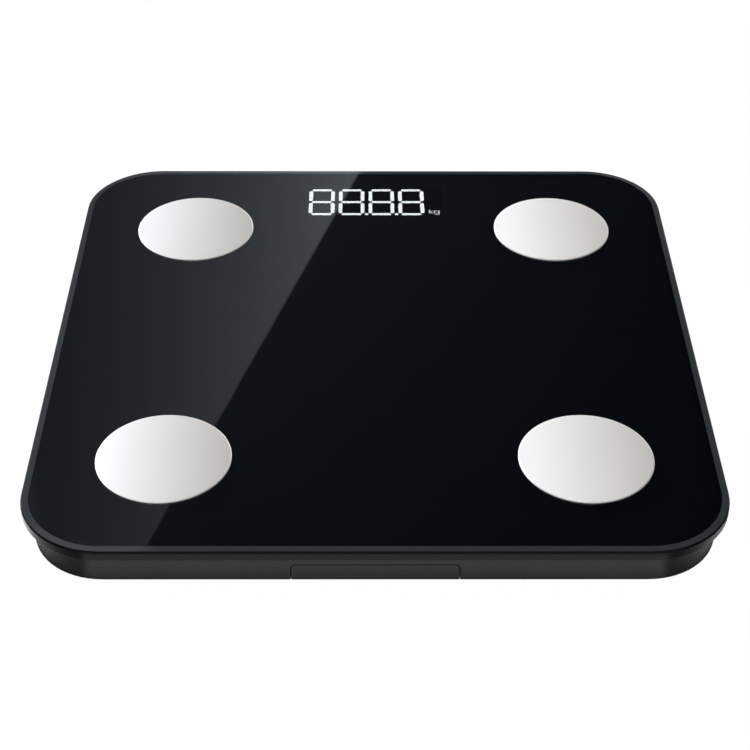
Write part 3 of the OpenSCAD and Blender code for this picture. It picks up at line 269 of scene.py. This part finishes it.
left_gain = add(card, "MapRange", {"Value": card_z, "From Min": left_top, "From Max": left_foot,
                                   "To Min": left_dim, "To Max": left_bright})
far_left = add(card, "MapRange", {"Value": card_x, "From Min": left_starts, "From Max": left_full,
                                  "To Max": left_gain.outputs[0]})
crown = add(card, "MapRange", {"Value": card_z, "From Min": crown_starts, "From Max": crown_full,
                               "To Max": crown_level})
for brighter in (far_left, crown):
    field = add(card, "Math", {0: field.outputs[0], 1: brighter.outputs[0]}, operation="MAXIMUM")
dark = add(card, "MapRange", {"Value": across.outputs[0], "From Min": dark_from, "From Max": dark_until,
                              "To Min": dark_left, "To Max": dark_right})
fade = add(card, "MapRange", {"Value": card_z, "From Min": fade_starts, "From Max": fade_full,
                              "To Min": 1.0, "To Max": faded})
dark = add(card, "Math", {0: dark.outputs[0], 1: fade.outputs[0]}, operation="MULTIPLY")
strength = add(card, "Mix", {"Factor": lit.outputs[0], "A": dark.outputs[0], "B": field.outputs[0]})
tint = add(card, "Mix", {"Factor": lit.outputs[0], "A": linear("#d6e7ff"), "B": linear("#ebf6ff")},
           data_type="RGBA")
glow = add(card, "Emission", {"Color": tint.outputs["Result"], "Strength": strength.outputs[0]})
show(card, card_out, glow)
card_piece = flat_sheet("mirror_card", [(-card_half, card_y, card_low), (card_half, card_y, card_low),
                                        (card_half, card_y, card_high), (-card_half, card_y, card_high)],
                        card)
card_piece.visible_camera = False
card_piece.visible_shadow = False


def soft_box(name, at, wide, high, power):
    """A rectangular soft box that faces the middle of the table."""
    data = bpy.data.lights.new(name, "AREA")
    data.shape = "RECTANGLE"
    data.size, data.size_y = wide, high
    data.energy = power
    lamp = put(name, data)
    lamp.location = at
    lamp.rotation_euler = (-Vector(at)).to_track_quat("-Z", "Y").to_euler()


soft_box("rear_left_box", (-2.2, 2.4, 1.4), 1.2, 1.2, 64.0)
soft_box("back_box", (1.2, 3.4, 1.1), 1.2, 1.2, 59.0)
soft_box("front_box", (0.0, -2.0, 2.2), 1.6, 0.8, 50.0)

# ---------------------------------------------------------------- tray
# The tray under the glass is injection-moulded ABS in black, from a spark-eroded mould.
# That leaves an even satin grain of about 0.3 mm, a little smoother in its hollows.
abs_grain = 0.5 * MM  # drawn coarser than the real 0.3 mm, which wouldn't show
noise_low, noise_high = 0.3, 0.7  # where most of a noise pattern lies


def moulded_plastic(name, colour, rough, grain, depth, specular=0.45):
    """A moulded plastic with a mould grain, smoother in its hollows, and a faint cloudiness."""
    cloud_size, mottle, spread, plastic_ior = 30 * MM, 0.10, 0.05, 1.53
    finish, output = new_finish(name)
    at = add(finish, "TexCoord")
    cloud = add(finish, "TexNoise", {"Vector": at.outputs["Object"], "Scale": 1 / cloud_size,
                                     "Detail": 3.0})
    grit = add(finish, "TexNoise", {"Vector": at.outputs["Object"], "Scale": 1 / grain, "Detail": 2.0})
    shade = [c * (1 - mottle) for c in linear(colour)[:3]] + [1.0]
    light = [c * (1 + mottle) for c in linear(colour)[:3]] + [1.0]
    tone = add(finish, "MapRange", {"Value": cloud.outputs["Fac"], "From Min": noise_low,
                                    "From Max": noise_high})
    tint = add(finish, "Mix", {"Factor": tone.outputs[0], "A": shade, "B": light}, data_type="RGBA")
    rub = add(finish, "MapRange", {"Value": grit.outputs["Fac"], "From Min": noise_low,
                                   "From Max": noise_high, "To Min": rough - spread,
                                   "To Max": rough + spread})
    bump = add(finish, "Bump", {"Height": grit.outputs["Fac"], "Strength": 1.0, "Distance": depth})
    skin = add(finish, "BsdfPrincipled", {
        "Base Color": tint.outputs["Result"], "Roughness": rub.outputs[0], "IOR": plastic_ior,
        "Specular IOR Level": specular, "Normal": bump.outputs[0]})
    show(finish, output, skin)
    return finish


def dress(names, finish):
    """Gives CAD pieces their finish."""
    for name in names:
        piece = node[name]
        piece.data.materials.clear()
        piece.data.materials.append(finish)


black_abs = moulded_plastic("black_abs_spark_eroded", "#151516",
                            rough=0.30, grain=abs_grain, depth=0.02 * MM, specular=0.6)
dress(["base_shell"], black_abs)

# ---------------------------------------------------------------- feet
# Each foot is a moulded ABS cup that slides in its hole, with a die-cut rubber pad glued in its sole.
# The rubber is dull, and the cup is a shade lighter than the tray.
corners = [end + "_" + side for end in ("front", "rear") for side in ("left", "right")]
cup_abs = moulded_plastic("charcoal_abs_foot", "#27272a", rough=0.5, grain=abs_grain, depth=0.02 * MM)
dress(["foot_cup_" + c for c in corners], cup_abs)
pad_rubber = moulded_plastic("black_nitrile_rubber", "#151515",
                             rough=0.8, grain=0.8 * MM, depth=0.04 * MM, specular=0.25)
dress(["foot_pad_" + c for c in corners], pad_rubber)

# ---------------------------------------------------------------- load cells
# A moulded ABS carrier holds each load cell, a plate stamped from nickel-plated spring steel.
# White silicone covers the strain gauge on its neck.
carrier_abs = moulded_plastic("charcoal_abs_carrier", "#222225",
                              rough=0.55, grain=0.7 * MM, depth=0.03 * MM)
dress(["cell_carrier_" + c for c in corners], carrier_abs)


def plain_metal(name, colour, rough, streak=1.0):
    """A metal with fine marks, drawn out along X where streak is above one."""
    cloud_size, mark_size, mark_depth, spread, dulled = 12 * MM, 0.6 * MM, 0.005 * MM, 0.08, 0.12
    finish, output = new_finish(name)
    at = add(finish, "TexCoord")
    pull = add(finish, "Mapping", {"Vector": at.outputs["Object"], "Scale": (1 / streak, 1.0, 1.0)})
    marks = add(finish, "TexNoise", {"Vector": pull.outputs[0], "Scale": 1 / mark_size, "Detail": 4.0})
    cloud = add(finish, "TexNoise", {"Vector": at.outputs["Object"], "Scale": 1 / cloud_size,
                                     "Detail": 2.0})
    darker = [c * (1 - dulled) for c in linear(colour)[:3]] + [1.0]
    tint = add(finish, "Mix", {"Factor": cloud.outputs["Fac"], "A": darker, "B": linear(colour)},
               data_type="RGBA")
    rub = add(finish, "MapRange", {"Value": marks.outputs["Fac"], "From Min": noise_low,
                                   "From Max": noise_high, "To Min": rough - spread,
                                   "To Max": rough + spread})
    bump = add(finish, "Bump", {"Height": marks.outputs["Fac"], "Strength": 1.0, "Distance": mark_depth})
    skin = add(finish, "BsdfPrincipled", {
        "Base Color": tint.outputs["Result"], "Metallic": 1.0, "Roughness": rub.outputs[0],
        "Normal": bump.outputs[0]})
    show(finish, output, skin)
    return finish


plated_steel = plain_metal("nickel_plated_spring_steel", "#bfbdb8", rough=0.32, streak=12)
dress(["load_cell_" + c for c in corners], plated_steel)
white_silicone = moulded_plastic("white_silicone", "#e9e8e2", rough=0.45, grain=1.5 * MM, depth=0.05 * MM)
dress(["gauge_coats"], white_silicone)

# ---------------------------------------------------------------- fasteners
# Self-tapping screws and hexagon nuts of steel with a bright zinc coat, tinned brass ring lugs,
# and washers punched from red vulcanised fibre.
zinc_steel = plain_metal("bright_zinc_plated_steel", "#c9ccd0", rough=0.28)
dress(["carrier_screws", "board_screws", "electrode_nuts"], zinc_steel)
tinned_brass = plain_metal("tinned_brass", "#cfcabc", rough=0.35)
dress(["electrode_lugs"], tinned_brass)
red_fibre = moulded_plastic("red_vulcanised_fibre", "#7c3422", rough=0.6, grain=0.4 * MM, depth=0.02 * MM)
dress(["electrode_washers"], red_fibre)

# ---------------------------------------------------------------- battery bay
# Three dry cells lie across the scale between contacts of nickel-plated spring steel.
# Each cell is a steel can in a shrunk plastic jacket with a bare rim at both ends.
contact_steel = plain_metal("nickel_plated_contact_steel", "#cbc8c0", rough=0.25)
dress(["terminal_minus", "terminal_plus", "bridge_left", "bridge_right"], contact_steel)

bare_from, pale_from = 19.8 * MM, 14 * MM  # along a cell, from its middle
scuff_size = 2 * MM
cell_jacket, cell_out = new_finish("printed_shrink_jacket")
at = add(cell_jacket, "TexCoord")
split = add(cell_jacket, "SeparateXYZ", {"Vector": at.outputs["Object"]})
reach = add(cell_jacket, "Math", {0: split.outputs["X"]}, operation="ABSOLUTE")
bare = add(cell_jacket, "Math", {0: reach.outputs[0], 1: bare_from}, operation="GREATER_THAN")
band = add(cell_jacket, "Math", {0: reach.outputs[0], 1: pale_from}, operation="GREATER_THAN")
jacket = add(cell_jacket, "Mix", {"Factor": band.outputs[0], "A": linear("#2f5f8c"),
                                  "B": linear("#d8d9da")}, data_type="RGBA")
tone = add(cell_jacket, "Mix", {"Factor": bare.outputs[0], "A": jacket.outputs["Result"],
                                "B": linear("#c8c8c6")}, data_type="RGBA")
scuff = add(cell_jacket, "TexNoise", {"Vector": at.outputs["Object"], "Scale": 1 / scuff_size,
                                      "Detail": 4.0})
gloss = add(cell_jacket, "MapRange", {"Value": scuff.outputs["Fac"], "To Min": 0.18, "To Max": 0.34})
skin = add(cell_jacket, "BsdfPrincipled", {
    "Base Color": tone.outputs["Result"], "Metallic": bare.outputs[0], "Roughness": gloss.outputs[0]})
show(cell_jacket, cell_out, skin)
dress(["dry_cell_front", "dry_cell_middle", "dry_cell_rear"], cell_jacket)

# ---------------------------------------------------------------- battery door
# The door is moulded from the same ABS in a second cavity, so its grain matches the tray.
# It slides out to the front, and six grooves under it give the thumb a hold.
door_abs = moulded_plastic("black_abs_door", "#151516",
                           rough=0.31, grain=abs_grain, depth=0.02 * MM, specular=0.6)
dress(["battery_door"], door_abs)

# ---------------------------------------------------------------- board
# A glass-epoxy board under green solder mask carries black epoxy chips, nylon headers and a radio
# module in a tinned can. The mask is glossy over faint copper tracks.
track_spacing, track_height = 3.2 * MM, 0.03 * MM
row_share = 0.25  # height of one row of the brick pattern at a scale of one
solder_mask, mask_out = new_finish("green_solder_mask")
at = add(solder_mask, "TexCoord")
tracks = add(solder_mask, "TexBrick", {"Vector": at.outputs["Object"],
                                       "Scale": row_share / track_spacing,
                                       "Color1": linear("#0d4a26"), "Color2": linear("#115c30"),
                                       "Mortar": linear("#1f7a43"), "Mortar Size": 0.03})
relief = add(solder_mask, "Bump", {"Height": tracks.outputs["Fac"], "Strength": 1.0,
                                   "Distance": track_height})
skin = add(solder_mask, "BsdfPrincipled", {"Base Color": tracks.outputs["Color"], "Roughness": 0.28,
                                           "IOR": 1.55, "Normal": relief.outputs[0]})
show(solder_mask, mask_out, skin)
dress(["main_board"], solder_mask)
chip_epoxy = moulded_plastic("black_epoxy", "#161617", rough=0.5, grain=0.3 * MM, depth=0.01 * MM)
dress(["board_chips"], chip_epoxy)

can_height, rub_size = 1.15 * MM, 1.5 * MM
radio_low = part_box("radio_module")[0].z
radio_can, can_out = new_finish("tinned_can_on_blue_mask")
at = add(radio_can, "TexCoord")
split = add(radio_can, "SeparateXYZ", {"Vector": at.outputs["Object"]})
is_can = add(radio_can, "Math", {0: split.outputs["Z"], 1: radio_low + can_height}, operation="LESS_THAN")
tone = add(radio_can, "Mix", {"Factor": is_can.outputs[0], "A": linear("#123a63"), "B": linear("#c4c4c2")},
           data_type="RGBA")
marks = add(radio_can, "TexNoise", {"Vector": at.outputs["Object"], "Scale": 1 / rub_size, "Detail": 3.0})
gloss = add(radio_can, "MapRange", {"Value": marks.outputs["Fac"], "To Min": 0.25, "To Max": 0.42})
skin = add(radio_can, "BsdfPrincipled", {"Base Color": tone.outputs["Result"],
                                         "Metallic": is_can.outputs[0], "Roughness": gloss.outputs[0]})
show(radio_can, can_out, skin)
dress(["radio_module"], radio_can)
header_nylon = moulded_plastic("ivory_nylon", "#e4dfd0", rough=0.4, grain=0.6 * MM, depth=0.02 * MM)
dress(["wire_headers"], header_nylon)

# ---------------------------------------------------------------- unit button
# A tact switch of black nylon on the board's underside, its plunger of yellow nylon, and the
# dished ABS button that presses it from below.
switch_nylon = moulded_plastic("black_switch_nylon", "#1b1b1c",
                               rough=0.45, grain=0.5 * MM, depth=0.01 * MM)
dress(["unit_switch"], switch_nylon)
plunger_nylon = moulded_plastic("yellow_plunger_nylon", "#c4b87c",
                                rough=0.45, grain=0.5 * MM, depth=0.01 * MM)
dress(["switch_plunger"], plunger_nylon)
button_abs = moulded_plastic("grey_abs_button", "#3a3a3c", rough=0.4, grain=abs_grain, depth=0.015 * MM)
dress(["unit_button"], button_abs)

# ---------------------------------------------------------------- wiring
# Stranded wire in soft extruded PVC: white to the electrodes, red from each load cell and dark red
# from the battery. The jacket is smooth, with the faint lumps of the strands inside.
strand_size, strand_lump = 0.9 * MM, 0.03 * MM
for wires, name, colour in ((["electrode_wires"], "white_pvc", "#dcdad2"),
                            (["cell_wires_" + c for c in corners], "red_pvc", "#a8231c"),
                            (["battery_leads"], "dark_red_pvc", "#8e1a16")):
    dress(wires, moulded_plastic(name, colour, rough=0.38, grain=strand_size, depth=strand_lump))

# ---------------------------------------------------------------- tape
# Double-sided acrylic foam tape bonds the tray and the carriers to the glass. An acrylic film holds
# each electrode down, and a frame of polyethylene foam keeps dust out of the display. All are die cut.
acrylic_foam = moulded_plastic("black_acrylic_foam", "#101010",
                               rough=0.85, grain=0.4 * MM, depth=0.04 * MM, specular=0.2)
dress(["bond_tape"], acrylic_foam)
glue_film = moulded_plastic("pressed_acrylic_film", "#959492", rough=0.3, grain=0.6 * MM, depth=0.01 * MM)
dress(["electrode_glue"], glue_film)
pe_foam = moulded_plastic("black_pe_foam", "#141414",
                          rough=0.9, grain=0.5 * MM, depth=0.06 * MM, specular=0.2)
dress(["display_gasket"], pe_foam)

# ---------------------------------------------------------------- display
# A white reflector block with a black-printed face has one light well for each segment. Milky
# epoxy fills the wells, and an LED under each makes it glow white through the glass.
face_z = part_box("display_housing")[1].z
print_depth = 0.05 * MM
reflector, reflector_out = new_finish("white_reflector_black_face")
at = add(reflector, "TexCoord")
split = add(reflector, "SeparateXYZ", {"Vector": at.outputs["Object"]})
face = add(reflector, "Math", {0: split.outputs["Z"], 1: face_z - print_depth}, operation="GREATER_THAN")
grit = add(reflector, "TexNoise", {"Vector": at.outputs["Object"], "Scale": 1 / abs_grain, "Detail": 2.0})
tone = add(reflector, "Mix", {"Factor": face.outputs[0], "A": linear("#ecebe6"), "B": linear("#070707")},
           data_type="RGBA")
rub = add(reflector, "MapRange", {"Value": grit.outputs["Fac"], "To Min": 0.5, "To Max": 0.7})
skin = add(reflector, "BsdfPrincipled", {"Base Color": tone.outputs["Result"], "Roughness": rub.outputs[0],
                                         "Specular IOR Level": 0.2})
show(reflector, reflector_out, skin)
dress(["display_housing"], reflector)

film_pass = 0.35  # share of the light that each face of the smoke film lets through
digit_level = 1.2  # how bright the digits look over the film
milk_cloud = 3 * MM
milk, milk_out = new_finish("milky_epoxy_lit")
at = add(milk, "TexCoord")
cloud = add(milk, "TexNoise", {"Vector": at.outputs["Object"], "Scale": 1 / milk_cloud, "Detail": 2.0})
warm = add(milk, "Mix", {"Factor": cloud.outputs["Fac"], "A": linear("#f4f8ff"), "B": linear("#ffffff")},
           data_type="RGBA")
skin = add(milk, "BsdfPrincipled", {"Base Color": linear("#e8e8e8"), "Roughness": 0.6,
                                    "Emission Color": warm.outputs["Result"],
                                    "Emission Strength": digit_level / film_pass ** 2})
show(milk, milk_out, skin)
dress(["display_diffusers"], milk)
phosphor = moulded_plastic("yellow_led_phosphor", "#d8c45a", rough=0.4, grain=0.3 * MM, depth=0.01 * MM)
dress(["display_leds"], phosphor)

# A black film over the unit's light well leaves the two letters of the kilogram open. Their outlines are
# in millimetres from the well's left front corner, and pen is the width of a stroke.
legend_w, legend_h, mask_margin = 5.3, 4.9, 0.4
wells_low, wells_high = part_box("display_diffusers")
mask_lift, mask_t = 0.02 * MM, 0.03 * MM
pen = 0.32
letter_scale = 0.9
letter_k = [(0, 1.2), (pen, 1.2), (pen, 2.35), (0.75, 2.75), (1.55, 1.2), (1.95, 1.2), (1.02, 3.0),
            (1.95, 3.9), (1.5, 3.9), (pen, 2.85), (pen, 4.9), (0, 4.9)]
letter_g = [(5.3, 3.9), (5.3, 0.7), (5.1, 0.25), (4.6, 0), (3.1, 0), (2.65, 0.12), (2.65, pen + 0.12),
            (3.15, pen), (4.55, pen), (5.3 - pen, 0.75), (5.3 - pen, 1.6), (4.5, 1.3), (3.2, 1.3),
            (2.65, 1.5), (2.35, 2.0), (2.35, 3.15), (2.65, 3.68), (3.2, 3.9), (4.5, 3.9),
            (5.3 - pen, 3.65), (5.3 - pen, 3.9)]
bowl_g = [(3.3, 1.3 + pen), (4.4, 1.3 + pen), (4.8, 1.95), (5.3 - pen, 2.5), (4.8, 3.2), (4.4, 3.9 - pen),
          (3.3, 3.9 - pen), (2.9, 3.2), (2.35 + pen, 2.55), (2.9, 1.95)]
sheet_outline = [(-mask_margin, -mask_margin), (legend_w + mask_margin, -mask_margin),
                 (legend_w + mask_margin, legend_h + mask_margin), (-mask_margin, legend_h + mask_margin)]
cut_out = bpy.data.curves.new("unit_mask", "CURVE")
cut_out.dimensions = "2D"
cut_out.fill_mode = "BOTH"
cut_out.extrude = mask_t / 2
for outline, scale in ((sheet_outline, 1.0), (letter_k, letter_scale), (letter_g, letter_scale),
                       (bowl_g, letter_scale)):
    spline = cut_out.splines.new("POLY")
    spline.points.add(len(outline) - 1)
    for point, (x, y) in zip(spline.points, outline):
        from_right = scale * (x - legend_w / 2) - legend_w / 2
        from_front = scale * (y - legend_h / 2) + legend_h / 2
        point.co = (wells_high.x + from_right * MM, wells_low.y + from_front * MM, 0, 1)
    spline.use_cyclic_u = True
drawn = put("unit_mask_outline", cut_out)
bpy.context.view_layer.update()
mask_mesh = bpy.data.meshes.new_from_object(drawn)
bpy.data.objects.remove(drawn)
mask_mesh.transform(Matrix.Translation((0, 0, wells_high.z + mask_lift + mask_t / 2)))
black_film = moulded_plastic("black_printed_polyester", "#080808",
                             rough=0.6, grain=0.4 * MM, depth=0.005 * MM, specular=0.2)
mask_mesh.materials.clear()
mask_mesh.materials.append(black_film)
unit_mask = put("unit_mask", mask_mesh)
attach(unit_mask, "root")

haze_size = 20 * MM
smoke_film, film_out = new_finish("smoke_tinted_film")
at = add(smoke_film, "TexCoord")
haze = add(smoke_film, "TexNoise", {"Vector": at.outputs["Object"], "Scale": 1 / haze_size, "Detail": 1.0})
smoke = add(smoke_film, "Mix", {"Factor": haze.outputs["Fac"], "A": linear("#020303"),
                                "B": linear("#040506")}, data_type="RGBA")
skin = add(smoke_film, "BsdfPrincipled", {"Base Color": smoke.outputs["Result"], "Roughness": 0.4,
                                          "Specular IOR Level": 0.0, "Alpha": 1 - film_pass})
show(smoke_film, film_out, skin)

# ---------------------------------------------------------------- printed ink
# Black ceramic ink is screen printed on the underside of the glass and fired in, so no air lies
# between them. A clear window is left over the display, and a hole round each stud.
blotch_size = 15 * MM
sunk = 0.02 * MM  # how far the fired ink and the film's adhesive lie inside the glass
ink, ink_out = new_finish("black_ceramic_ink")
at = add(ink, "TexCoord")
blotch = add(ink, "TexNoise", {"Vector": at.outputs["Object"], "Scale": 1 / blotch_size, "Detail": 2.0})
tone = add(ink, "Mix", {"Factor": blotch.outputs["Fac"], "A": linear("#0a1015"), "B": linear("#0b1217")},
           data_type="RGBA")
skin = add(ink, "BsdfPrincipled", {"Base Color": tone.outputs["Result"], "Roughness": 0.9,
                                   "Specular IOR Level": 0.0})
show(ink, ink_out, skin)


def bonded(name, source, finish):
    """A layer copied from its CAD solid, with its top sunk into the glass so that no air shows."""
    mesh = node[source].data.copy()
    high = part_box(source)[1].z
    for vertex in mesh.vertices:
        if vertex.co.z > high - sunk:
            vertex.co.z = high + sunk
    mesh.materials.clear()
    mesh.materials.append(finish)
    piece = put(name, mesh)
    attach(piece, "root")
    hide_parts(source)


bonded("fired_ink", "back_print", ink)
bonded("bonded_smoke_film", "display_window", smoke_film)

# ---------------------------------------------------------------- glass platform
# Tempered float glass, 4.3 mm thick. Its faces are fire-smooth. The wide bevel is ground and half
# polished, so it scatters a soft dark grey, and the narrow edge faces are ground and sealed in grey.
# A face is told by how upright its normal is: 1 on the fire-smooth faces, near 0 on the narrow edge.
smooth_from, edge_until = 0.9995, 0.3
bevel_upright, bevel_within = 0.98, 0.0195
edge_rough, bevel_rough, bevel_clear = 0.25, 0.08, 0.4
glass, glass_out = new_finish("tempered_float_glass")
form = add(glass, "NewGeometry")
split = add(glass, "SeparateXYZ", {"Vector": form.outputs["True Normal"]})
upright = add(glass, "Math", {0: split.outputs["Z"]}, operation="ABSOLUTE")
ground = add(glass, "Math", {0: upright.outputs[0], 1: smooth_from}, operation="LESS_THAN")
bevel = add(glass, "Math", {0: upright.outputs[0], 1: bevel_upright, 2: bevel_within}, operation="COMPARE")
edge = add(glass, "Math", {0: upright.outputs[0], 1: edge_until}, operation="LESS_THAN")
tone = add(glass, "Mix", {"Factor": ground.outputs[0], "A": linear("#eef5f4"), "B": linear("#3c4042")},
           data_type="RGBA")
rough = add(glass, "Math", {0: edge.outputs[0], 1: edge_rough}, operation="MULTIPLY")
rough = add(glass, "Math", {0: bevel.outputs[0], 1: bevel_rough, 2: rough.outputs[0]},
            operation="MULTIPLY_ADD")
clear = add(glass, "MapRange", {"Value": bevel.outputs[0], "To Min": 1.0, "To Max": bevel_clear})
skin = add(glass, "BsdfPrincipled", {"Base Color": tone.outputs["Result"], "Roughness": rough.outputs[0],
                                     "IOR": 1.52, "Transmission Weight": clear.outputs[0]})
show(glass, glass_out, skin)
dress(["platform_glass"], glass)

# ---------------------------------------------------------------- electrodes
# Four discs stamped from stainless steel and blasted to a satin finish, with a turned bright edge.
# Their colour carries painted light: palest on the left of each disc, turning to a warm grey on the right.
disc_low, disc_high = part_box("electrode_front_right")
disc_x, disc_r = (disc_low.x + disc_high.x) / 2, (disc_high.x - disc_low.x) / 2
painted_light_until = 0.8  # share of the radius, left of the middle
blast_size, blast_depth = 0.4 * MM, 0.004 * MM
steel, steel_out = new_finish("satin_stainless_steel")
at = add(steel, "TexCoord")
split = add(steel, "SeparateXYZ", {"Vector": at.outputs["Object"]})
side = add(steel, "Math", {0: split.outputs["X"]}, operation="SIGN")
local = add(steel, "Math", {0: side.outputs[0], 1: -disc_x, 2: split.outputs["X"]},
            operation="MULTIPLY_ADD")
across = add(steel, "MapRange", {"Value": local.outputs[0], "From Min": -painted_light_until * disc_r,
                                 "From Max": disc_r})
# Painted light: white on the left of each disc, warm grey on the right, as if lit from the left.
tone = add(steel, "Mix", {"Factor": across.outputs[0], "A": linear("#ffffff"), "B": linear("#cac7c2")},
           data_type="RGBA")
grit = add(steel, "TexNoise", {"Vector": at.outputs["Object"], "Scale": 1 / blast_size, "Detail": 3.0})
rub = add(steel, "MapRange", {"Value": grit.outputs["Fac"], "To Min": 0.55, "To Max": 0.65})
bump = add(steel, "Bump", {"Height": grit.outputs["Fac"], "Strength": 1.0, "Distance": blast_depth})
skin = add(steel, "BsdfPrincipled", {"Base Color": tone.outputs["Result"], "Metallic": 1.0,
                                     "Roughness": rub.outputs[0], "Normal": bump.outputs[0]})
show(steel, steel_out, skin)
dress(["electrode_" + c for c in corners], steel)
